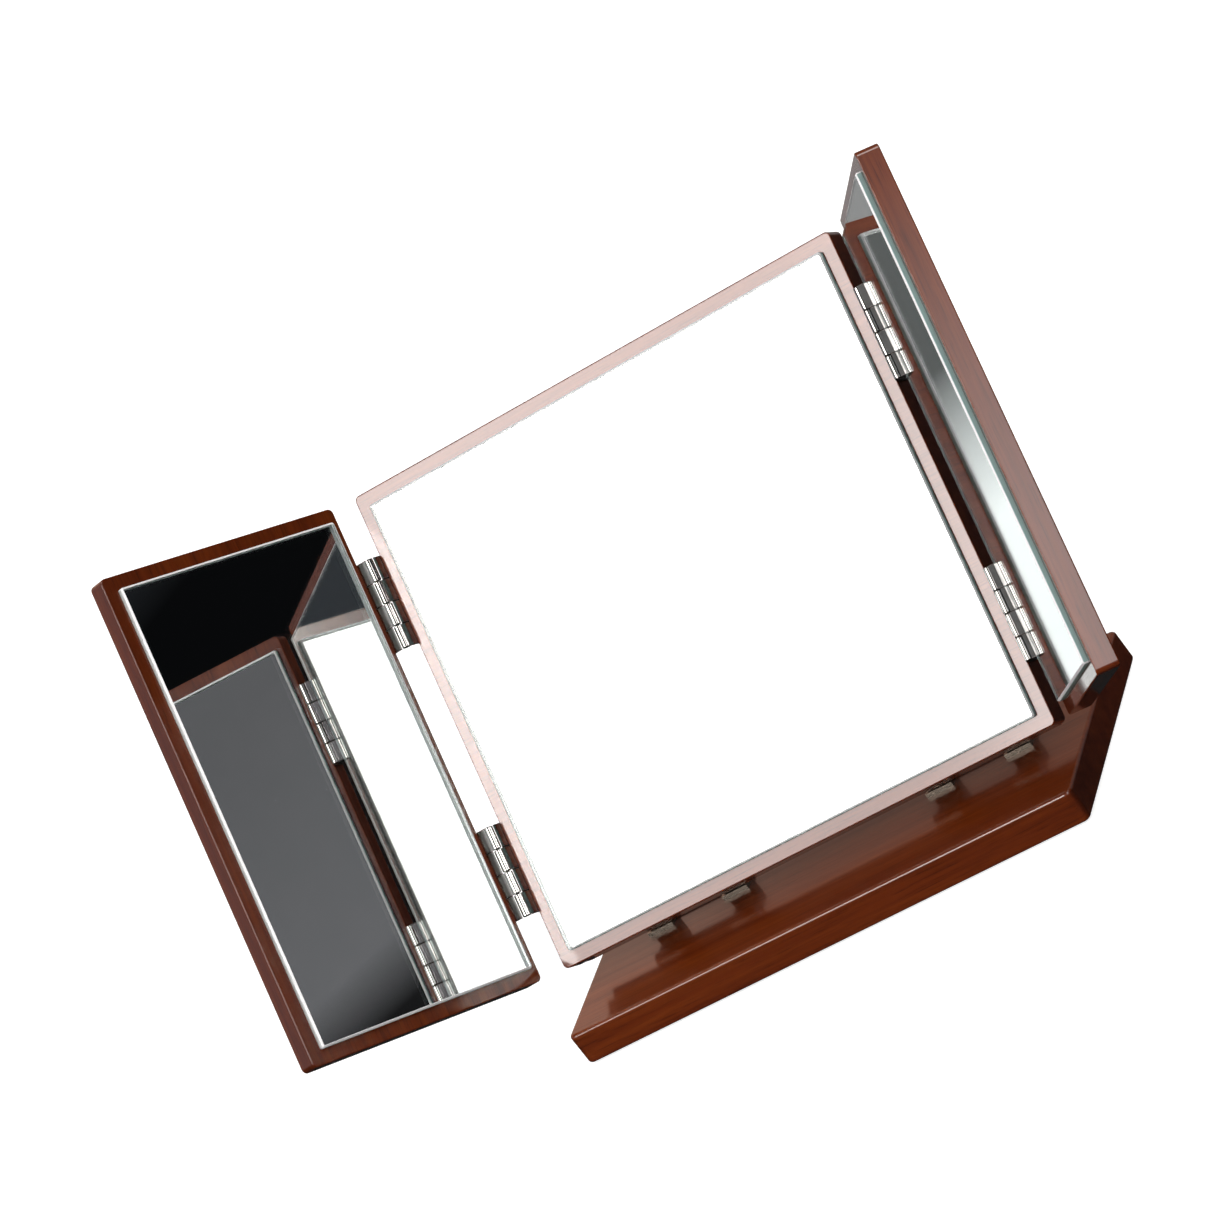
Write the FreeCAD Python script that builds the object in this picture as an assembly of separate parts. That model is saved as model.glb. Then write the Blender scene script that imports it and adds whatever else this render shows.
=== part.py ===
import FreeCAD, Part
import os

V = FreeCAD.Vector
os.makedirs("parts", exist_ok=True)

# base board on a thin felt sheet
base_width = 232.5
base_depth = 116.0
base_thick = 14.0
base_corner = 3.0
base_arris = 1.5
felt_thick = 1.0
felt_inset = 6.0
felt_corner = 4.0

# the three panels
main_width = 230.0
wing_width = 111.0
panel_height = 201.0
main_thick = 10.0
wing_thick = 9.0
panel_corner = 2.2
panel_arris = 0.5
panel_gap = 5.9

# backing board behind the main panel, set in from its edges
back_thick = 4.0
back_inset = 3.0
back_corner = 2.0

# mirrors, silvered behind, stuck with two strips of tape each in shallow recesses
glass_border = 5.8
wing_hinge_border = 3.0
glass_thick = 3.0
glass_bevel = 0.7
glass_corner = 1.0
recess_depth = 1.0
silver_thick = 0.08
tape_thick = 0.1
tape_width = 20.0
tape_margin = 10.0

# stored pose, in degrees
lean = 28.3
left_fold = 65.2
right_fold = 58.8

# side hinges: cranked leaves on the facing panel edges, axis ahead of the panel faces
side_length = 37.5
side_inset = 24.7
side_axis_ahead = 4.1
side_barrel = 1.7
side_leaf = 1.0
side_reach = 7.8
side_crank_end = 0.6
side_pin = 0.8
side_screw_length = 9.0
side_screw_shank = 0.9
side_screw_head = 1.8
side_screw_pitch = 24.0
side_screw_back = 4.5
side_knuckle_gap = 0.36
side_knuckle_chamfer = 0.3
pin_chamfer = 0.2

# friction hinges between the base top and the back of the main panel
tilt_inset = 48.7
tilt_length = 48.0
tilt_middle = 24.0
tilt_barrel = 4.2
tilt_leaf = 1.8
tilt_setback = 46.4
tilt_rise = 9.6
tilt_above = 5.0
tilt_toe = 4.8
tilt_notch = 8.0
tilt_post_back = 8.1
tilt_post = 4.0
tilt_neck = 3.2
tilt_post_round = 1.5
tilt_base_reach = 26.0
tilt_panel_reach = 22.0
tilt_shaft = 2.0
tilt_shaft_chamfer = 0.4
tilt_sleeve_wall = 0.8
tilt_screw_shank = 1.4
tilt_screw_head = 2.7
tilt_screw_head_depth = 1.4
tilt_base_screw_length = 11.0
tilt_panel_screw_length = 9.0
tilt_screw_pitch = 32.0
tilt_screw_edge = 1.5
tilt_leaf_corner = 2.0

# clearances
running = 0.04
recess_room = 0.2
silver_room = 0.02
tilt_face_room = 0.5
knuckle_gap = 0.2
knuckle_room = 0.4
screw_room = 0.03
overrun = 1.0

base_top = felt_thick + base_thick
side_axis = main_width / 2 + panel_gap / 2
tilt_centre = main_width / 2 - tilt_inset
tilt_axis = V(0, tilt_setback - base_depth / 2, base_top + tilt_rise)
tilt_base_front = tilt_axis.y + tilt_toe
tilt_post_front = tilt_axis.y + tilt_post_back
panel_back = main_thick + back_thick
tilt_behind = panel_back + tilt_face_room + tilt_barrel
tilt_in_panel = V(0, tilt_above, -tilt_behind)
tilt_panel_start = tilt_above + tilt_barrel + knuckle_room
silver_level = tape_thick - recess_depth
glass_level = silver_level + silver_thick + silver_room


def plate(x0, y0, z0, width, height, thick, corner):
    # flat board seen from the front: x right, y up, z towards the viewer
    body = Part.makeBox(width, height, thick, V(x0, y0, z0))
    upright = [e for e in body.Edges if e.BoundBox.ZLength > thick / 2]
    return body.makeFillet(corner, upright)


def rim(body, level):
    return [e for e in body.Edges
            if abs(e.BoundBox.ZMin - level) < 1e-4 and abs(e.BoundBox.ZMax - level) < 1e-4]


def rounded_board(x0, y0, z0, width, height, thick, corner, arris):
    body = plate(x0, y0, z0, width, height, thick, corner)
    return body.makeFillet(arris, rim(body, z0) + rim(body, z0 + thick))


def mirror_plate(x0, width, borders, room, level, thick):
    # borders are the strips of wood left bare beside the mirror: left, right
    left, right = borders[0] - room, borders[1] - room
    inset = glass_border - room
    return plate(x0 + left, inset, level, width - left - right, panel_height - 2 * inset, thick,
                 glass_corner + room)


def mirror_recess(x0, width, borders):
    return mirror_plate(x0, width, borders, recess_room, -recess_depth, recess_depth + overrun)


def mirror_glass(x0, width, borders):
    body = mirror_plate(x0, width, borders, 0, glass_level, glass_thick)
    return body.makeChamfer(glass_bevel, rim(body, glass_level + glass_thick))


def mirror_silver(x0, width, borders):
    return mirror_plate(x0, width, borders, 0, silver_level, silver_thick)


def tape_strips(x0, width, borders):
    inset = glass_border + tape_margin
    strips = []
    for x in (x0 + borders[0] + tape_margin, x0 + width - borders[1] - tape_margin - tape_width):
        spot = V(x, inset, -recess_depth)
        strips.append(Part.makeBox(tape_width, panel_height - 2 * inset, tape_thick, spot))
    return strips


def cut_all(body, tools):
    for tool in tools:
        body = body.cut(tool)
    return body


def turned(spot, out, body):
    body.Placement = FreeCAD.Placement(spot, FreeCAD.Rotation(V(0, 0, 1), out))
    return body


def screw(spot, out, length, shank, head, head_depth):
    # countersunk wood screw, its head flush at spot, its point away from out
    tip = 2 * shank
    body = Part.makeCone(shank, head, head_depth, V(0, 0, -head_depth))
    body = body.fuse(Part.makeCylinder(shank, length - head_depth - tip, V(0, 0, tip - length)))
    body = body.fuse(Part.makeCone(0.15 * shank, shank, tip, V(0, 0, -length))).removeSplitter()
    slot = 0.35 * shank
    for size in (V(head * 1.2, slot, 1), V(slot, head * 1.2, 1)):
        body = body.cut(Part.makeBox(size.x, size.y, 1, V(-size.x / 2, -size.y / 2, -0.3 * head_depth)))
    return turned(spot, out, body)


def screw_hole(spot, out, length, shank, head, head_depth):
    wide = shank + screw_room
    body = Part.makeCylinder(wide, length + screw_room, V(0, 0, -length - screw_room))
    sink = Part.makeCone(wide, head + screw_room, head_depth, V(0, 0, -head_depth))
    mouth = Part.makeCylinder(head + screw_room, overrun)
    return turned(spot, out, body.fuse(sink).fuse(mouth))


def segments(count, length, mine):
    step = length / count
    return [(k * step, (k + 1) * step) for k in range(count) if k % 2 == mine]


def end_rims(upright):
    return [e for e in upright.Edges if e.BoundBox.YLength < 1e-6]


def side_leaf_body(side, toward, bottom, mine):
    # toward is +1 for the leaf on the wing edge, -1 for the one on the main edge
    half = panel_gap / 2
    bend = side_axis_ahead - side_crank_end
    inner = side_barrel - side_leaf
    profile = [(inner, 0), (side_barrel, 0), (half, bend), (half, side_axis_ahead + side_reach),
               (half - side_leaf, side_axis_ahead + side_reach), (half - side_leaf, bend + 0.3)]
    points = [V(side * (side_axis + toward * u), bottom, side_axis_ahead - v) for u, v in profile]
    body = Part.Face(Part.makePolygon(points + points[:1])).extrude(V(0, side_length, 0))
    centre = V(side * side_axis, bottom, side_axis_ahead)
    along = V(0, 1, 0)
    for low, high in segments(4, side_length, 1 - mine):
        start = centre + V(0, low - side_knuckle_gap / 2, 0)
        room = side_barrel + knuckle_room
        body = body.cut(Part.makeCylinder(room, high - low + side_knuckle_gap, start, along))
    for low, high in segments(4, side_length, mine):
        first = 0 if low == 0 else side_knuckle_gap / 2
        last = 0 if high == side_length else side_knuckle_gap / 2
        start = centre + V(0, low + first, 0)
        knuckle = Part.makeCylinder(side_barrel, high - low - first - last, start, along)
        body = body.fuse(knuckle.makeChamfer(side_knuckle_chamfer, end_rims(knuckle)))
    bore = Part.makeCylinder(side_pin + running, side_length + 2 * overrun, centre - along * overrun, along)
    return body.cut(bore).removeSplitter()


def side_pin_body(side, bottom):
    pin = Part.makeCylinder(side_pin, side_length, V(side * side_axis, bottom, side_axis_ahead), V(0, 1, 0))
    return pin.makeChamfer(pin_chamfer, end_rims(pin))


def side_screw_spots(side, toward, bottom):
    x = side * (side_axis + toward * (panel_gap / 2 - side_leaf))
    middle = bottom + side_length / 2
    rows = (middle - side_screw_pitch / 2, middle + side_screw_pitch / 2)
    return [(V(x, y, -side_screw_back), V(-side * toward, 0, 0)) for y in rows]


side_screw_size = (side_screw_length, side_screw_shank, side_screw_head, side_leaf)
hinge_levels = {"lower": side_inset, "upper": panel_height - side_inset - side_length}
sides = {"left": -1, "right": 1}


def in_panel(shape):
    # from the flat panel view to the row frame: leaning back about the tilt axis
    moved = shape.copy()
    moved.translate(tilt_in_panel * -1)
    moved.rotate(V(0, 0, 0), V(1, 0, 0), 90 - lean)
    moved.translate(tilt_axis)
    return moved


def in_wing(shape, side):
    moved = shape.copy()
    fold = left_fold if side < 0 else -right_fold
    moved.rotate(V(side * side_axis, 0, side_axis_ahead), V(0, 1, 0), fold)
    return in_panel(moved)


def save(name, shapes):
    body = shapes[0] if len(shapes) == 1 else Part.makeCompound(shapes)
    body.exportStep("parts/%s.step" % name)


# friction hinges
def tilt_base_leaf(x):
    outer = (tilt_length - tilt_middle) / 2
    corner = V(x - tilt_length / 2, tilt_base_front, base_top)
    body = Part.makeBox(tilt_length, tilt_base_reach, tilt_leaf, corner)
    back = [e for e in body.Edges if e.BoundBox.ZLength > tilt_leaf / 2 and e.BoundBox.YMin > tilt_base_front]
    body = body.makeFillet(tilt_leaf_corner, back)
    body = body.cut(Part.makeBox(tilt_middle + knuckle_gap, tilt_notch, tilt_leaf,
                                 V(x - tilt_middle / 2 - knuckle_gap / 2, tilt_base_front, base_top)))
    wide = outer - knuckle_gap / 2
    for start in (x - tilt_length / 2, x + tilt_middle / 2 + knuckle_gap / 2):
        neck = Part.makeBox(wide, tilt_post_back + tilt_post, tilt_neck,
                            V(start, tilt_axis.y, tilt_axis.z - tilt_neck))
        post = Part.makeBox(wide, tilt_post, tilt_rise, V(start, tilt_post_front, base_top))
        arm = neck.fuse(post).removeSplitter()
        top_back = [e for e in arm.Edges if e.BoundBox.ZMin > tilt_axis.z - tilt_neck / 2
                    and e.BoundBox.YMin > tilt_post_front + tilt_post / 2]
        body = body.fuse(arm.makeFillet(tilt_post_round, top_back))
        body = body.fuse(Part.makeCylinder(tilt_barrel, wide, V(start, tilt_axis.y, tilt_axis.z), V(1, 0, 0)))
    bore = Part.makeCylinder(tilt_shaft + running, tilt_length + 2 * overrun,
                             V(x - tilt_length / 2 - overrun, tilt_axis.y, tilt_axis.z), V(1, 0, 0))
    return body.cut(bore).removeSplitter()


def tilt_panel_leaf(x):
    level = -panel_back - tilt_leaf
    corner = V(x - tilt_length / 2, tilt_panel_start, level)
    body = Part.makeBox(tilt_length, tilt_panel_reach, tilt_leaf, corner)
    body = body.makeFillet(tilt_leaf_corner, [e for e in body.Edges if e.BoundBox.ZLength > tilt_leaf / 2])
    wide = tilt_middle - knuckle_gap
    strap = tilt_panel_start - tilt_above + tilt_leaf_corner
    body = body.fuse(Part.makeBox(wide, strap, tilt_leaf, V(x - wide / 2, tilt_above, level)))
    centre = V(x - wide / 2, tilt_above, -tilt_behind)
    body = body.fuse(Part.makeCylinder(tilt_barrel, wide, centre, V(1, 0, 0)))
    bore = Part.makeCylinder(tilt_shaft + running + tilt_sleeve_wall, wide + 2 * overrun,
                             centre - V(overrun, 0, 0), V(1, 0, 0))
    return body.cut(bore).removeSplitter()


def tilt_sleeve(x):
    wide = tilt_middle - knuckle_gap
    start = V(x - wide / 2, tilt_above, -tilt_behind)
    outer = Part.makeCylinder(tilt_shaft + running + tilt_sleeve_wall, wide, start, V(1, 0, 0))
    return outer.cut(Part.makeCylinder(tilt_shaft + running, wide, start, V(1, 0, 0)))


def tilt_shaft_body(x):
    start = V(x - tilt_length / 2, tilt_axis.y, tilt_axis.z)
    shaft = Part.makeCylinder(tilt_shaft, tilt_length, start, V(1, 0, 0))
    return shaft.makeChamfer(tilt_shaft_chamfer, [e for e in shaft.Edges if e.BoundBox.XLength < 1e-6])


def tilt_base_spots(x):
    level = base_top + tilt_leaf
    edge = tilt_screw_head + tilt_screw_edge
    rows = (tilt_post_front + tilt_post + edge, tilt_base_front + tilt_base_reach - edge)
    across = (x - tilt_screw_pitch / 2, x + tilt_screw_pitch / 2)
    return [(V(u, v, level), V(0, 0, 1)) for u in across for v in rows]


def tilt_panel_spots(x):
    edge = tilt_screw_head + tilt_screw_edge
    rows = (tilt_panel_start + edge, tilt_panel_start + tilt_panel_reach - edge)
    across = (x - tilt_screw_pitch / 2, x + tilt_screw_pitch / 2)
    return [(V(u, v, -panel_back - tilt_leaf), V(0, 0, -1)) for u in across for v in rows]


tilt_base_size = (tilt_base_screw_length, tilt_screw_shank, tilt_screw_head, tilt_screw_head_depth)
tilt_panel_size = (tilt_panel_screw_length, tilt_screw_shank, tilt_screw_head, tilt_screw_head_depth)

# base
base_cuts = []
tilt_base_screws = []
tilt_panel_screws = []
main_cuts = []
tilt_panel_holes = []
for side_name, side in sides.items():
    x = side * tilt_centre
    base_holes = [screw_hole(p, d, *tilt_base_size) for p, d in tilt_base_spots(x)]
    panel_holes = [screw_hole(p, d, *tilt_panel_size) for p, d in tilt_panel_spots(x)]
    tilt_base_screws += [screw(p, d, *tilt_base_size) for p, d in tilt_base_spots(x)]
    tilt_panel_screws += [in_panel(screw(p, d, *tilt_panel_size)) for p, d in tilt_panel_spots(x)]
    base_cuts += base_holes
    main_cuts += panel_holes
    tilt_panel_holes += panel_holes
    save(side_name + "_tilt_base_leaf", [cut_all(tilt_base_leaf(x), base_holes)])
    save(side_name + "_tilt_panel_leaf", [in_panel(cut_all(tilt_panel_leaf(x), panel_holes))])
    save(side_name + "_tilt_sleeve", [in_panel(tilt_sleeve(x))])
    save(side_name + "_tilt_shaft", [tilt_shaft_body(x)])
base = rounded_board(-base_width / 2, -base_depth / 2, felt_thick, base_width, base_depth, base_thick,
                     base_corner, base_arris)
save("base_board", [cut_all(base, base_cuts)])
felt_width = base_width - 2 * felt_inset
felt_depth = base_depth - 2 * felt_inset
save("base_felt", [plate(-felt_width / 2, -felt_depth / 2, 0, felt_width, felt_depth, felt_thick, felt_corner)])
save("tilt_base_screws", tilt_base_screws)
save("tilt_panel_screws", tilt_panel_screws)

# side hinges and wings
main_screws = []
for side_name, side in sides.items():
    wing_screws = []
    wing_cuts = []
    for level_name, bottom in hinge_levels.items():
        main_spots = side_screw_spots(side, -1, bottom)
        wing_spots = side_screw_spots(side, 1, bottom)
        main_holes = [screw_hole(p, d, *side_screw_size) for p, d in main_spots]
        wing_holes = [screw_hole(p, d, *side_screw_size) for p, d in wing_spots]
        main_screws += [in_panel(screw(p, d, *side_screw_size)) for p, d in main_spots]
        wing_screws += [in_wing(screw(p, d, *side_screw_size), side) for p, d in wing_spots]
        main_cuts += main_holes
        wing_cuts += wing_holes
        hinge = "%s_%s_hinge_" % (side_name, level_name)
        save(hinge + "main_leaf", [in_panel(cut_all(side_leaf_body(side, -1, bottom, 0), main_holes))])
        save(hinge + "wing_leaf", [in_wing(cut_all(side_leaf_body(side, 1, bottom, 1), wing_holes), side)])
        save(hinge + "pin", [in_panel(side_pin_body(side, bottom))])
    inner_edge = main_width / 2 + panel_gap
    x0 = inner_edge if side > 0 else -inner_edge - wing_width
    borders = (wing_hinge_border, glass_border) if side > 0 else (glass_border, wing_hinge_border)
    wing = rounded_board(x0, 0, -wing_thick, wing_width, panel_height, wing_thick, panel_corner, panel_arris)
    wing_cuts.append(mirror_recess(x0, wing_width, borders))
    save(side_name + "_wing_board", [in_wing(cut_all(wing, wing_cuts), side)])
    save(side_name + "_wing_glass", [in_wing(mirror_glass(x0, wing_width, borders), side)])
    save(side_name + "_wing_silver", [in_wing(mirror_silver(x0, wing_width, borders), side)])
    save(side_name + "_wing_tape", [in_wing(strip, side) for strip in tape_strips(x0, wing_width, borders)])
    save(side_name + "_wing_screws", wing_screws)

# main panel
main_left = -main_width / 2
main_borders = (glass_border, glass_border)
main = rounded_board(main_left, 0, -main_thick, main_width, panel_height, main_thick, panel_corner, panel_arris)
main_cuts.append(mirror_recess(main_left, main_width, main_borders))
save("main_board", [in_panel(cut_all(main, main_cuts))])
back_height = panel_height - back_inset
back = plate(main_left + back_inset, 0, -panel_back, main_width - 2 * back_inset, back_height,
             back_thick, back_corner)
save("main_back_board", [in_panel(cut_all(back, tilt_panel_holes))])
save("main_silver", [in_panel(mirror_silver(main_left, main_width, main_borders))])
save("main_glass", [in_panel(mirror_glass(main_left, main_width, main_borders))])
save("main_tape", [in_panel(strip) for strip in tape_strips(main_left, main_width, main_borders)])
save("main_hinge_screws", main_screws)
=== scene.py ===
import math
import bpy
import bmesh
from mathutils import Euler, Matrix, Vector

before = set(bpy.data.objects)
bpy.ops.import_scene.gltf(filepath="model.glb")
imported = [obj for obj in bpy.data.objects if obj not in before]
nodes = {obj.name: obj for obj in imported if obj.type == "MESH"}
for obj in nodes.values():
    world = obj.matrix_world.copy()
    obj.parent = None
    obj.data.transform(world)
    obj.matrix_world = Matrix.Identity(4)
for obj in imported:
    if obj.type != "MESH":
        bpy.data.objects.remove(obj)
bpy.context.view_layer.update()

print("frame loaded:", len(nodes), "pieces")

pose = {"lean": 28.3, "leftFold": 65.2, "rightFold": -58.8}  # degrees, as the mirror stands in the photo
white = (1.0, 1.0, 1.0)


def boardTurn(fold=0.0, upright=False):
    # a panel's own axes: x across it, y up it, z out of its face; upright lays x up the panel
    turn = Matrix.Rotation(math.radians(90 - pose["lean"]), 3, "X")
    turn = turn @ Matrix.Rotation(math.radians(fold), 3, "Y")
    if upright:
        turn = turn @ Matrix.Rotation(math.radians(90), 3, "Z")
    return turn.to_euler()


def blankMaterial(name):
    mat = bpy.data.materials.new(name)
    mat.use_nodes = True
    tree = mat.node_tree
    return mat, tree, tree.nodes["Principled BSDF"]


def setSockets(node, values):
    for key, value in values.items():
        node.inputs[key].default_value = value


def addNode(tree, kind, settings=None, sockets=None):
    node = tree.nodes.new(kind)
    for key, value in (settings or {}).items():
        setattr(node, key, value)
    setSockets(node, sockets or {})
    return node


def plug(tree, value, target):
    # a socket is wired in, a number or colour is set
    if isinstance(value, bpy.types.NodeSocket):
        tree.links.new(value, target)
    else:
        target.default_value = value


def mathNode(tree, operation, *values):
    node = addNode(tree, "ShaderNodeMath", {"operation": operation})
    for value, target in zip(values, node.inputs):
        plug(tree, value, target)
    return node.outputs["Value"]


def vectorNode(tree, operation, *values):
    node = addNode(tree, "ShaderNodeVectorMath", {"operation": operation})
    for value, target in zip(values, node.inputs):
        plug(tree, value, target)
    return node.outputs["Value" if operation == "DOT_PRODUCT" else "Vector"]


def splitVector(tree, vector):
    node = addNode(tree, "ShaderNodeSeparateXYZ")
    plug(tree, vector, node.inputs["Vector"])
    return node.outputs


def boardSpace(tree, turn, spot=(0, 0, 0), cell=(1, 1, 1)):
    # Object coordinates turned to lie along a board, measured in cells
    coord = addNode(tree, "ShaderNodeTexCoord")
    sockets = {"Location": spot, "Rotation": turn, "Scale": cell}
    mapping = addNode(tree, "ShaderNodeMapping", {"vector_type": "TEXTURE"}, sockets)
    plug(tree, coord.outputs["Object"], mapping.inputs["Vector"])
    return mapping.outputs["Vector"]


def grainNoise(tree, layer, turn=(0, 0, 0), spot=(0, 0, 0)):
    sockets = {"Scale": 1.0, "Detail": layer["detail"], "Roughness": layer["rough"],
               "Distortion": layer.get("warp", 0.0)}
    noise = addNode(tree, "ShaderNodeTexNoise", None, sockets)
    plug(tree, boardSpace(tree, turn, spot, layer["cell"]), noise.inputs["Vector"])
    return noise.outputs["Fac"]


def ramp(tree, source, stops):
    node = addNode(tree, "ShaderNodeValToRGB")
    band = node.color_ramp
    while len(band.elements) < len(stops):
        band.elements.new(0.5)
    for element, (place, colour) in zip(band.elements, stops):
        element.position = place
        element.color = (*colour, 1.0)
    plug(tree, source, node.inputs["Fac"])
    return node.outputs["Color"]


def spread(tree, source, fromRange=(0.0, 1.0), toRange=(0.0, 1.0)):
    node = addNode(tree, "ShaderNodeMapRange", {"clamp": True})
    setSockets(node, {"From Min": fromRange[0], "From Max": fromRange[1],
                      "To Min": toRange[0], "To Max": toRange[1]})
    plug(tree, source, node.inputs["Value"])
    return node.outputs["Result"]


def blendColour(tree, mode, amount, first, second):
    node = addNode(tree, "ShaderNodeMix", {"data_type": "RGBA", "blend_type": mode})
    plug(tree, amount, node.inputs["Factor"])
    for value, target in ((first, node.inputs[6]), (second, node.inputs[7])):  # the node's two colours
        plug(tree, (*value, 1.0) if isinstance(value, tuple) else value, target)
    return node.outputs[2]


def addBump(tree, height, strength, distance):
    node = addNode(tree, "ShaderNodeBump", None, {"Strength": strength, "Distance": distance})
    plug(tree, height, node.inputs["Height"])
    return node.outputs["Normal"]


def dress(nodeName, material):
    piece = nodes[nodeName]
    if piece.material_slots:
        for slot in piece.material_slots:
            slot.material = material
    else:
        piece.data.materials.append(material)


# boards: fine straight grain under a gloss lacquer; cells and distances in metres
woodLook = {
    "figure": {"cell": (0.16, 0.0075, 0.0075), "detail": 7.0, "rough": 0.62, "warp": 0.35},
    "figureStops": [(0.30, (0.105, 0.0150, 0.0014)), (0.50, (0.142, 0.0234, 0.0024)),
                    (0.72, (0.180, 0.035, 0.0042))],
    "tone": {"cell": (0.5, 0.05, 0.05), "detail": 2.0, "rough": 0.5},
    "toneStops": [(0.3, (0.72, 0.70, 0.68)), (0.7, white)], "toneWeight": 0.5,
    "streaks": {"cell": (0.032, 0.0011, 0.0011), "detail": 3.0, "rough": 0.6, "warp": 0.2},
    "streakStops": [(0.32, (0.70, 0.66, 0.62)), (0.58, white)], "streakWeight": 0.7,
    "pores": {"cell": (0.014, 0.00055, 0.00055), "detail": 2.0, "rough": 0.5},
    "poreRange": (0.56, 0.70), "poreColour": (0.35, 0.28, 0.25), "poreWeight": 0.55,
    "poreBump": 0.25, "poreDepth": -0.00004,
    "wave": {"cell": (0.05, 0.012, 0.012), "detail": 3.0, "rough": 0.55},
    "waveBump": 0.05, "waveHeight": 0.00006,
    "endRange": (0.65, 0.95), "endColour": (0.50, 0.45, 0.42),
    "roughFrom": (0.3, 0.7), "roughTo": (0.44, 0.36), "specular": 0.15, "coatIor": 1.5}
boards = {
    "base_board": {"name": "baseWood", "turn": (0, 0, 0), "spot": (0.31, 0.07, 0.02),
                   "coatRough": 0.13, "paintedShade": 1.0},
    "main_board": {"name": "mainWood", "turn": boardTurn(), "spot": (0.9, 0.4, 0.1),
                   "coatRough": 0.07, "paintedShade": 1.0},
    # a board's last value darkens its colour as painted shade; the left wing's board is painted darker than
    # the others
    "left_wing_board": {"name": "leftWingWood", "turn": boardTurn(pose["leftFold"], True),
                        "spot": (0.2, 1.3, 0.5), "coatRough": 0.07, "paintedShade": 0.84},
    "right_wing_board": {"name": "rightWingWood", "turn": boardTurn(pose["rightFold"], True),
                         "spot": (0.7, 2.1, 0.3), "coatRough": 0.07, "paintedShade": 1.0}}


def woodMaterial(board):
    look, turn, spot = woodLook, board["turn"], board["spot"]
    mat, tree, shader = blankMaterial(board["name"])
    figure = grainNoise(tree, look["figure"], turn, spot)
    colour = ramp(tree, figure, look["figureStops"])
    tone = ramp(tree, grainNoise(tree, look["tone"], turn, spot), look["toneStops"])
    colour = blendColour(tree, "MULTIPLY", look["toneWeight"], colour, tone)
    streaks = ramp(tree, grainNoise(tree, look["streaks"], turn, spot), look["streakStops"])
    colour = blendColour(tree, "MULTIPLY", look["streakWeight"], colour, streaks)
    pores = spread(tree, grainNoise(tree, look["pores"], turn, spot), look["poreRange"])
    poreShade = spread(tree, pores, toRange=(0.0, look["poreWeight"]))
    colour = blendColour(tree, "MULTIPLY", poreShade, colour, look["poreColour"])
    normal = addNode(tree, "ShaderNodeTexCoord").outputs["Normal"]
    along = Euler(turn).to_matrix() @ Vector((1, 0, 0))
    endOn = mathNode(tree, "ABSOLUTE", vectorNode(tree, "DOT_PRODUCT", normal, along))
    endMask = spread(tree, endOn, look["endRange"])  # stain sinks deeper into the board ends
    colour = blendColour(tree, "MULTIPLY", endMask, colour, look["endColour"])
    # painted shade: the board's colour times its last value
    colour = blendColour(tree, "MULTIPLY", 1.0, colour, (board["paintedShade"],) * 3)
    plug(tree, colour, shader.inputs["Base Color"])
    plug(tree, spread(tree, figure, look["roughFrom"], look["roughTo"]), shader.inputs["Roughness"])
    plug(tree, addBump(tree, pores, look["poreBump"], look["poreDepth"]), shader.inputs["Normal"])
    wave = grainNoise(tree, look["wave"], turn, spot)
    plug(tree, addBump(tree, wave, look["waveBump"], look["waveHeight"]), shader.inputs["Coat Normal"])
    setSockets(shader, {"Specular IOR Level": look["specular"], "Coat Weight": 1.0,
                        "Coat Roughness": board["coatRough"], "Coat IOR": look["coatIor"]})
    return mat


for boardName, board in boards.items():
    dress(boardName, woodMaterial(board))
dress("main_back_board", bpy.data.materials[boards["main_board"]["name"]])
print("boards dressed")


# mirrors: clear glass with a ground rim over a silver coat, the rim painted pale as a highlight; ranges in
# metres
glassLook = {
    "haze": {"cell": (0.03, 0.03, 0.03), "detail": 3.0, "rough": 0.5},
    "hazeStops": [(0.35, (0.992, 0.996, 0.995)), (0.65, (0.986, 0.993, 0.991))],
    "ior": 1.52, "depthTint": (0.62, 0.93, 0.86, 1.0), "density": 14.0,
    "edgeRange": (-0.00009, -0.00004), "edgeClear": 0.35, "rimRough": 0.45,
    "bevelRange": (-0.00084, -0.00082), "bevelHighlightTint": (0.92, 0.94, 0.96), "frontRange": (-0.0013, -0.0012)}
# the green edge is the glass's own colour; the left wing's pale edge is a painted highlight
greenEdge, paintedHighlightEdge = (0.30, 0.47, 0.465), (0.76, 0.82, 0.82)
sheets = {
    "main": {"name": "mainGlass", "fold": 0.0,
             "edge": greenEdge, "bevelClear": 0.60},
    # the left wing's pale edge faces and near-opaque pale rim are painted highlight
    "left_wing": {"name": "leftWingGlass", "fold": pose["leftFold"],
                  "edge": paintedHighlightEdge, "bevelClear": 0.05},
    "right_wing": {"name": "rightWingGlass", "fold": pose["rightFold"],
                   "edge": greenEdge, "bevelClear": 0.05}}
silverLook = {"cloud": {"cell": (0.04, 0.04, 0.04), "detail": 4.0, "rough": 0.6},
              "stops": [(0.3, (0.90, 0.915, 0.91)), (0.6, (0.93, 0.94, 0.935))],
              "roughFrom": (0.3, 0.7), "roughTo": (0.004, 0.0)}
tapeLook = {"foam": {"cell": (0.0008, 0.0008, 0.0008), "detail": 2.0, "rough": 0.5},
            "stops": [(0.35, (0.72, 0.72, 0.70)), (0.65, (0.84, 0.84, 0.82))],
            "bump": 0.3, "height": 0.00005, "rough": 0.7}


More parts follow.
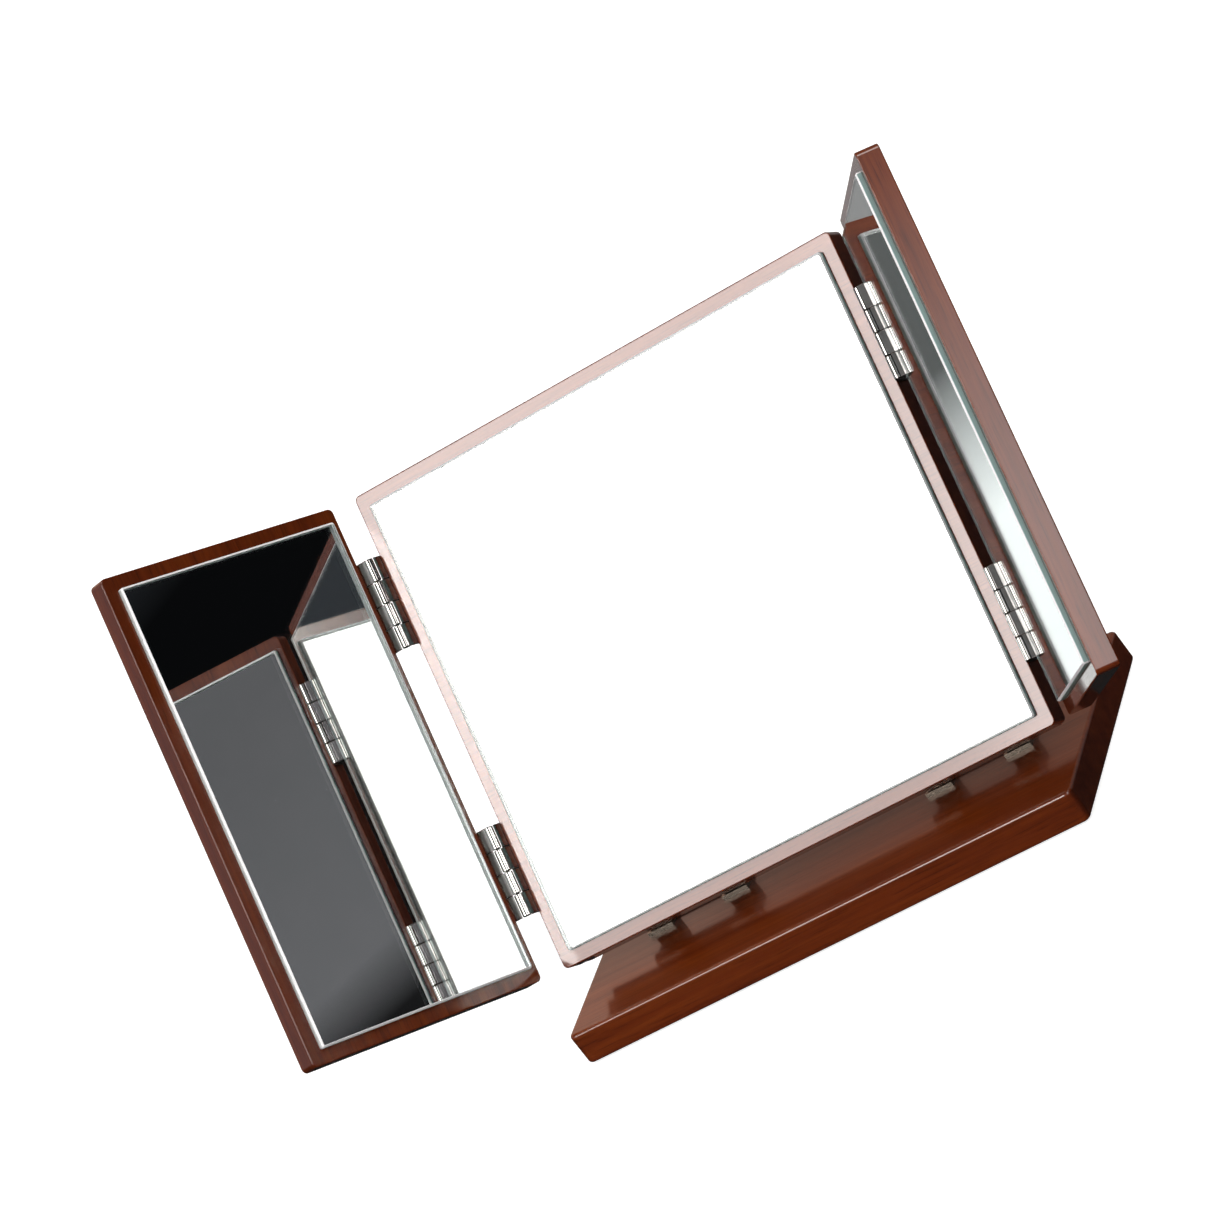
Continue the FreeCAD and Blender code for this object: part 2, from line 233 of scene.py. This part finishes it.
def glassMaterial(panel):
    look, sheet = glassLook, sheets[panel]
    turn = boardTurn(sheet["fold"])
    axes = turn.to_matrix()
    flat = [axes.transposed() @ v.co for v in nodes[panel + "_glass"].data.vertices]
    low, high = (Vector([pick(p[k] for p in flat) for k in range(3)]) for pick in (min, max))
    half = (high - low) / 2
    mat, tree, shader = blankMaterial(sheet["name"])
    place = boardSpace(tree, turn, axes @ (high + low) / 2)
    apart = vectorNode(tree, "ABSOLUTE", place)
    past = splitVector(tree, vectorNode(tree, "SUBTRACT", apart, (half.x, half.y, 0)))
    rim = mathNode(tree, "MAXIMUM", past["X"], past["Y"])  # metres past the outline, so below zero inside it
    edgeFace = spread(tree, rim, look["edgeRange"])
    front = spread(tree, splitVector(tree, place)["Z"], look["frontRange"])  # the silvered back stays clear
    bevel = mathNode(tree, "MULTIPLY", spread(tree, rim, look["bevelRange"]), front)
    clear = ramp(tree, grainNoise(tree, look["haze"]), look["hazeStops"])
    # painted highlight: the bevel is tinted pale, and made less clear on the wings so that the pale shows
    colour = blendColour(tree, "MIX", bevel, clear, look["bevelHighlightTint"])
    # edge faces take the sheet's edge colour: the glass's own green, or on the left wing a painted highlight
    plug(tree, blendColour(tree, "MIX", edgeFace, colour, sheet["edge"]), shader.inputs["Base Color"])
    plug(tree, spread(tree, bevel, toRange=(0.0, look["rimRough"])), shader.inputs["Roughness"])
    faceClear = spread(tree, bevel, toRange=(1.0, sheet["bevelClear"]))
    edgeGain = look["edgeClear"] - sheet["bevelClear"]
    through = mathNode(tree, "MULTIPLY_ADD", edgeFace, edgeGain, faceClear)
    plug(tree, through, shader.inputs["Transmission Weight"])
    shader.inputs["IOR"].default_value = look["ior"]
    sockets = {"Color": look["depthTint"], "Density": look["density"]}
    body = addNode(tree, "ShaderNodeVolumeAbsorption", None, sockets)
    plug(tree, body.outputs["Volume"], tree.nodes["Material Output"].inputs["Volume"])
    return mat


def silverMaterial():
    look = silverLook
    mat, tree, shader = blankMaterial("mirrorSilver")
    cloud = grainNoise(tree, look["cloud"])
    plug(tree, ramp(tree, cloud, look["stops"]), shader.inputs["Base Color"])
    plug(tree, spread(tree, cloud, look["roughFrom"], look["roughTo"]), shader.inputs["Roughness"])
    shader.inputs["Metallic"].default_value = 1.0
    return mat


def tapeMaterial():
    look = tapeLook
    mat, tree, shader = blankMaterial("foamTape")
    foam = grainNoise(tree, look["foam"])
    plug(tree, ramp(tree, foam, look["stops"]), shader.inputs["Base Color"])
    plug(tree, addBump(tree, foam, look["bump"], look["height"]), shader.inputs["Normal"])
    shader.inputs["Roughness"].default_value = look["rough"]
    return mat


mirrorSilver, foamTape = silverMaterial(), tapeMaterial()
for panel in sheets:
    dress(panel + "_glass", glassMaterial(panel))
    dress(panel + "_silver", mirrorSilver)
    dress(panel + "_tape", foamTape)
print("mirrors dressed")


# metals: nickel hinges with painted shade as dark lines where the knuckles meet, plated screws and shafts,
# dark coated leaves
metalLooks = {
    "brightNickel": {"low": (0.42, 0.41, 0.40), "high": (0.56, 0.55, 0.54),
                     "rough": (0.05, 0.11), "bump": 0.01},
    "satinNickel": {"low": (0.24, 0.205, 0.165), "high": (0.34, 0.295, 0.24),
                    "rough": (0.24, 0.36), "bump": 0.10},
    "platedSteel": {"low": (0.60, 0.60, 0.60), "high": (0.74, 0.74, 0.74),
                    "rough": (0.18, 0.32), "bump": 0.06}}
metalGrain = {
    "strokes": {"cell": (0.006, 0.00012, 0.00012), "detail": 3.0, "rough": 0.6},
    "patches": {"cell": (0.006, 0.006, 0.006), "detail": 4.0, "rough": 0.6}, "patchSpot": (0.3, 0.1, 0.2),
    "lowAt": 0.3, "highAt": 0.6, "roughFrom": (0.15, 0.40), "height": 0.00003}
# painted shade in the gaps between knuckles: how many knuckles, where the dark band lies, its colour and
# roughness
seamShadeLook = {"knuckles": 4, "range": (0.445, 0.48), "colour": (0.05, 0.045, 0.042), "rough": 0.5}
darkLook = {
    "speckle": {"cell": (0.0006, 0.0006, 0.0006), "detail": 3.0, "rough": 0.6},
    "patches": {"cell": (0.008, 0.008, 0.008), "detail": 3.0, "rough": 0.5},
    "stops": [(0.3, (0.045, 0.038, 0.033)), (0.7, (0.070, 0.060, 0.052))],
    "roughFrom": (0.3, 0.7), "roughTo": (0.32, 0.48), "bump": 0.2, "height": 0.00003}


def seamShadeMask(tree, foot, pitch):
    # painted shade where the knuckles meet: one at the ends of every knuckle, nought along its middle
    level = splitVector(tree, boardSpace(tree, boardTurn(), foot, (1, pitch, 1)))["Y"]
    apart = mathNode(tree, "SUBTRACT", mathNode(tree, "FRACT", level), 0.5)
    return spread(tree, mathNode(tree, "ABSOLUTE", apart), seamShadeLook["range"])


def metalMaterial(name, look, turn=(0, 0, 0), barrel=None):
    mat, tree, shader = blankMaterial(name)
    strokes = grainNoise(tree, metalGrain["strokes"], turn)
    patches = grainNoise(tree, metalGrain["patches"], turn, metalGrain["patchSpot"])
    colour = ramp(tree, patches, [(metalGrain["lowAt"], look["low"]), (metalGrain["highAt"], look["high"])])
    rough = spread(tree, mathNode(tree, "MULTIPLY", strokes, patches), metalGrain["roughFrom"], look["rough"])
    if barrel:
        # painted shade: a dark band mixed into the colour at each knuckle's ends
        seamShade = seamShadeMask(tree, *barrel)
        colour = blendColour(tree, "MIX", seamShade, colour, seamShadeLook["colour"])
        rough = mathNode(tree, "MAXIMUM", rough, spread(tree, seamShade, toRange=(0.0, seamShadeLook["rough"])))
    plug(tree, colour, shader.inputs["Base Color"])
    plug(tree, rough, shader.inputs["Roughness"])
    plug(tree, addBump(tree, strokes, look["bump"], metalGrain["height"]), shader.inputs["Normal"])
    shader.inputs["Metallic"].default_value = 1.0
    return mat


def darkMetalMaterial():
    look = darkLook
    mat, tree, shader = blankMaterial("darkCoat")
    speckle = grainNoise(tree, look["speckle"], boardTurn())
    patches = grainNoise(tree, look["patches"], boardTurn())
    plug(tree, ramp(tree, patches, look["stops"]), shader.inputs["Base Color"])
    plug(tree, spread(tree, speckle, look["roughFrom"], look["roughTo"]), shader.inputs["Roughness"])
    plug(tree, addBump(tree, speckle, look["bump"], look["height"]), shader.inputs["Normal"])
    return mat


def hingeBarrel(level):
    # where a level's barrels start, and how long each knuckle is
    upward = boardTurn().to_matrix() @ Vector((0, 1, 0))
    places = sorted((v.co for v in nodes["left_%s_hinge_main_leaf" % level].data.vertices), key=upward.dot)
    return places[0], upward.dot(places[-1] - places[0]) / seamShadeLook["knuckles"]


satinNickel = metalMaterial("satinNickel", metalLooks["satinNickel"])
platedSteel = metalMaterial("platedSteel", metalLooks["platedSteel"])
darkCoat = darkMetalMaterial()
for level in ("upper", "lower"):
    hingeNickel = metalMaterial(level + "Nickel", metalLooks["brightNickel"], boardTurn(), hingeBarrel(level))
    for side in ("left", "right"):
        for part in ("main_leaf", "wing_leaf", "pin"):
            dress("%s_%s_hinge_%s" % (side, level, part), hingeNickel)
for side in ("left", "right"):
    dress(side + "_tilt_base_leaf", satinNickel)
    dress(side + "_tilt_panel_leaf", darkCoat)
    dress(side + "_tilt_shaft", platedSteel)
    dress(side + "_wing_screws", platedSteel)
for name in ("main_hinge_screws", "tilt_base_screws", "tilt_panel_screws"):
    dress(name, platedSteel)
print("metals dressed")


# felt underside and nylon sleeves
feltLook = {
    "fibre": {"cell": (0.0022, 0.0003, 0.0003), "detail": 4.0, "rough": 0.7}, "fibreTurn": (0, 0, 0.6),
    "fibreStops": [(0.3, (0.010, 0.007, 0.006)), (0.7, (0.030, 0.022, 0.019))],
    "clumps": {"cell": (0.004, 0.004, 0.004), "detail": 3.0, "rough": 0.6},
    "clumpStops": [(0.3, (0.6, 0.6, 0.6)), (0.7, white)], "clumpWeight": 0.5,
    "bump": 0.6, "height": 0.0002, "rough": 0.95, "sheen": 0.3}
nylonLook = {"cloud": {"cell": (0.002, 0.002, 0.002), "detail": 3.0, "rough": 0.5},
             "stops": [(0.3, (0.60, 0.60, 0.55)), (0.7, (0.68, 0.68, 0.64))],
             "roughFrom": (0.3, 0.7), "roughTo": (0.38, 0.5)}


def feltMaterial():
    look = feltLook
    mat, tree, shader = blankMaterial("baseFelt")
    fibre = grainNoise(tree, look["fibre"], look["fibreTurn"])
    clumps = ramp(tree, grainNoise(tree, look["clumps"]), look["clumpStops"])
    colour = blendColour(tree, "MULTIPLY", look["clumpWeight"], ramp(tree, fibre, look["fibreStops"]), clumps)
    plug(tree, colour, shader.inputs["Base Color"])
    plug(tree, addBump(tree, fibre, look["bump"], look["height"]), shader.inputs["Normal"])
    setSockets(shader, {"Roughness": look["rough"], "Sheen Weight": look["sheen"]})
    return mat


def nylonMaterial():
    look = nylonLook
    mat, tree, shader = blankMaterial("nylonSleeve")
    cloud = grainNoise(tree, look["cloud"])
    plug(tree, ramp(tree, cloud, look["stops"]), shader.inputs["Base Color"])
    plug(tree, spread(tree, cloud, look["roughFrom"], look["roughTo"]), shader.inputs["Roughness"])
    return mat


nylonSleeve = nylonMaterial()
dress("base_felt", feltMaterial())
dress("left_tilt_sleeve", nylonSleeve)
dress("right_tilt_sleeve", nylonSleeve)
print("felt and nylon dressed")


# studio: a pale floor, soft boxes that light the object, and plain cards for its mirrors and lacquer
# reflections see a floor that goes from dark to pale towards mirrorSide
floorLook = {"size": 60.0, "seen": 0.55, "glow": 0.80, "bounce": 0.35,
             "mirrorSide": (-0.59, 0.81, 0.0), "mirrorFrom": (0.35, 0.90), "mirrorTone": (0.015, 0.35)}
worldLook = {"seen": 1.0, "ambient": 0.26, "ambientTint": (1.0, 0.98, 0.97, 1.0)}
roomLook = {"radius": 20.0, "tone": 0.20, "tint": (1.0, 0.99, 0.98, 1.0)}
# az: degrees to the right of straight in front; el: degrees above level at the card's middle; far: metres
# glow goes from its first value to its second over fade, or over all of el; drift scales it over az
cardsAround = Vector((0.0, 0.0, 0.12))
wallTint = (1.076, 1.0, 1.077)
cards = {
    "keyBox": {"az": (-38.6, -28.9), "el": (20.0, 44.0), "far": 12.0, "tint": (1.0, 0.93, 0.90),
               "glow": (5.6, 25.0), "drift": ((-36.0, -30.4), (0.96, 0.73)), "lights": True},
    "keyEdge": {"az": (-28.9, -21.8), "el": (20.0, 44.0), "far": 12.0, "tint": (1.0, 0.93, 0.90),
                "glow": (5.6, 25.0), "drift": ((-28.9, -24.8), (0.72, 1.8)), "lights": True},
    "sideBox": {"az": (-21.8, -13.0), "el": (20.0, 44.0), "far": 12.0, "tint": (1.0, 0.95, 0.93),
                "glow": (4.0, 4.0), "drift": ((-19.5, -14.0), (1.0, 0.1)), "lights": True},
    "fillBox": {"az": (26.0, 56.0), "el": (14.0, 37.0), "far": 12.0, "tint": (1.0, 0.96, 0.94),
                "glow": (4.9, 0.15), "fade": (27.6, 32.0), "lights": True},
    "topBox": {"az": (35.0, 90.0), "el": (45.0, 66.0), "far": 6.0, "tint": (1.0, 0.96, 0.93),
               "glow": (7.0, 7.0), "lights": True},
    "window": {"az": (-51.0, -43.5), "el": (10.0, 32.0), "far": 11.8, "tint": white,
               "glow": (1.5, 0.16), "fade": (28.0, 29.8), "lights": False},
    "rightWall": {"az": (62.0, 140.0), "el": (-4.0, 34.0), "far": 2.6, "tint": (0.95, 1.0, 1.15),
                  "glow": (0.003, 0.046), "fade": (7.0, 10.5), "lights": True},
    "leftWall": {"az": (-108.0, -38.2), "el": (-3.0, 55.0), "far": 12.0, "tint": wallTint,
                 "glow": (0.161, 0.128), "fade": (31.4, 34.4), "drift": ((-75.0, -60.0), (1.8, 1.0)),
                 "lights": False},
    "wallFoot": {"az": (-43.4, -39.6), "el": (20.0, 27.35), "far": 11.8, "tint": wallTint,
                 "glow": (0.012, 0.161), "fade": (26.6, 27.35), "lights": False},
    "backCard": {"az": (-185.0, -118.0), "el": (1.0, 40.0), "far": 12.0, "tint": (1.45, 0.94, 0.74),
                 "glow": (0.50, 0.50), "drift": ((-150.6, -149.1), (0.38, 1.0)), "lights": False},
    "rearFill": {"az": (148.0, 212.0), "el": (4.0, 40.0), "far": 12.0, "tint": (1.0, 0.97, 0.95),
                 "glow": (1.6, 1.6), "lights": True, "mirrored": False}}


def reflectionRays(tree):
    path = addNode(tree, "ShaderNodeLightPath").outputs
    mirrored = mathNode(tree, "MAXIMUM", path["Is Glossy Ray"], path["Is Transmission Ray"])
    return path["Is Camera Ray"], mirrored


def glowMaterial(name):
    mat = bpy.data.materials.new(name)
    mat.use_nodes = True
    tree = mat.node_tree
    tree.nodes.remove(tree.nodes["Principled BSDF"])
    return mat, tree, tree.nodes["Material Output"].inputs["Surface"]


def mixShaders(tree, amount, first, second):
    node = addNode(tree, "ShaderNodeMixShader")
    for value, target in zip((amount, first, second), node.inputs):
        plug(tree, value, target)
    return node.outputs["Shader"]


def diffuseNode(tree, grey):
    return addNode(tree, "ShaderNodeBsdfDiffuse", None, {"Color": (grey, grey, grey, 1.0)}).outputs["BSDF"]


def stageObject(name, bm, mat):
    mesh = bpy.data.meshes.new(name)
    bm.to_mesh(mesh)
    bm.free()
    mesh.materials.append(mat)
    thing = bpy.data.objects.new(name, mesh)
    bpy.context.collection.objects.link(thing)
    return thing


def makeFloor():
    look = floorLook
    mat, tree, surface = glowMaterial("paleFloor")
    seen, mirrored = reflectionRays(tree)
    pale = addNode(tree, "ShaderNodeAddShader")
    plug(tree, diffuseNode(tree, look["seen"]), pale.inputs[0])
    glow = addNode(tree, "ShaderNodeEmission", None, {"Strength": look["glow"]})
    plug(tree, glow.outputs["Emission"], pale.inputs[1])
    place = addNode(tree, "ShaderNodeTexCoord").outputs["Object"]
    reach = vectorNode(tree, "DOT_PRODUCT", place, look["mirrorSide"])
    mirror = addNode(tree, "ShaderNodeEmission")
    plug(tree, spread(tree, reach, look["mirrorFrom"], look["mirrorTone"]), mirror.inputs["Strength"])
    unseen = mixShaders(tree, mirrored, diffuseNode(tree, look["bounce"]), mirror.outputs["Emission"])
    plug(tree, mixShaders(tree, seen, unseen, pale.outputs["Shader"]), surface)
    bm = bmesh.new()
    bmesh.ops.create_grid(bm, x_segments=1, y_segments=1, size=look["size"] / 2)
    floor = stageObject("floor", bm, mat)


def makeCard(name):
    look = cards[name]
    far = look["far"]
    az = math.radians(sum(look["az"]) / 2)
    width = 2 * far * math.tan(math.radians(look["az"][1] - look["az"][0]) / 2)
    low, high = (far * math.tan(math.radians(e)) for e in look["el"])
    fade = [far * math.tan(math.radians(e)) for e in look.get("fade", look["el"])]
    mat, tree, surface = glowMaterial(name)
    place = splitVector(tree, addNode(tree, "ShaderNodeTexCoord").outputs["Object"])
    strength = spread(tree, place["Y"], fade, look["glow"])
    if "drift" in look:
        degrees, scales = look["drift"]
        drift = [far * math.tan(math.radians(a) - az) for a in degrees]
        strength = mathNode(tree, "MULTIPLY", strength, spread(tree, place["X"], drift, scales))
    light = addNode(tree, "ShaderNodeEmission", None, {"Color": (*look["tint"], 1.0)})
    plug(tree, strength, light.inputs["Strength"])
    plug(tree, light.outputs["Emission"], surface)
    bm = bmesh.new()
    bmesh.ops.create_grid(bm, x_segments=1, y_segments=1, size=0.5)
    bmesh.ops.scale(bm, vec=(width, high - low, 1), verts=bm.verts)
    bmesh.ops.translate(bm, vec=(0, (high + low) / 2, 0), verts=bm.verts)
    card = stageObject(name, bm, mat)
    card.rotation_euler = (math.radians(90), 0, az)
    card.location = cardsAround + Vector((math.sin(az), -math.cos(az), 0)) * far
    card.visible_camera = card.visible_shadow = False
    card.visible_diffuse = look["lights"]
    card.visible_glossy = card.visible_transmission = look.get("mirrored", True)


def makeRoom():
    # a plain grey room far around, which only reflections see
    mat, tree, surface = glowMaterial("roomGrey")
    sockets = {"Color": roomLook["tint"], "Strength": roomLook["tone"]}
    glow = addNode(tree, "ShaderNodeEmission", None, sockets)
    plug(tree, glow.outputs["Emission"], surface)
    bm = bmesh.new()
    bmesh.ops.create_icosphere(bm, subdivisions=3, radius=roomLook["radius"])
    room = stageObject("room", bm, mat)
    room.visible_camera = room.visible_diffuse = room.visible_shadow = room.visible_transmission = False


def makeWorld():
    world = bpy.data.worlds.new("studio")
    bpy.context.scene.world = world
    world.use_nodes = True
    tree = world.node_tree
    backdrop = tree.nodes["Background"]
    setSockets(backdrop, {"Color": (*white, 1.0), "Strength": worldLook["seen"]})
    sockets = {"Color": worldLook["ambientTint"], "Strength": worldLook["ambient"]}
    soft = addNode(tree, "ShaderNodeBackground", None, sockets)
    shown = mathNode(tree, "MAXIMUM", *reflectionRays(tree))
    mixed = mixShaders(tree, shown, soft.outputs["Background"], backdrop.outputs["Background"])
    plug(tree, mixed, tree.nodes["World Output"].inputs["Surface"])


makeFloor()
makeRoom()
for cardName in cards:
    makeCard(cardName)
makeWorld()
bpy.context.scene.view_settings.view_transform = "Standard"
print("studio set")


# camera: the photo's own viewpoint, tipped as the photo is; metres, degrees, and millimetres for the lens
cameraLook = {"place": (0.91694, -1.70104, 0.75399), "heading": -28.83214, "dip": 17.61834,
              "roll": -37.7328, "lens": 159.99, "sensor": 36.0, "clipStart": 0.05, "clipEnd": 60.0}


def makeCamera():
    look = cameraLook
    data = bpy.data.cameras.new("photoCamera")
    data.lens, data.sensor_width = look["lens"], look["sensor"]
    data.clip_start, data.clip_end = look["clipStart"], look["clipEnd"]
    camera = bpy.data.objects.new("photoCamera", data)
    bpy.context.collection.objects.link(camera)
    turn = Matrix.Rotation(math.radians(-look["heading"]), 4, "Z")
    turn = turn @ Matrix.Rotation(math.radians(90 - look["dip"]), 4, "X")
    turn = turn @ Matrix.Rotation(math.radians(look["roll"]), 4, "Z")
    camera.matrix_world = Matrix.Translation(look["place"]) @ turn
    bpy.context.scene.camera = camera


makeCamera()
print("camera set")
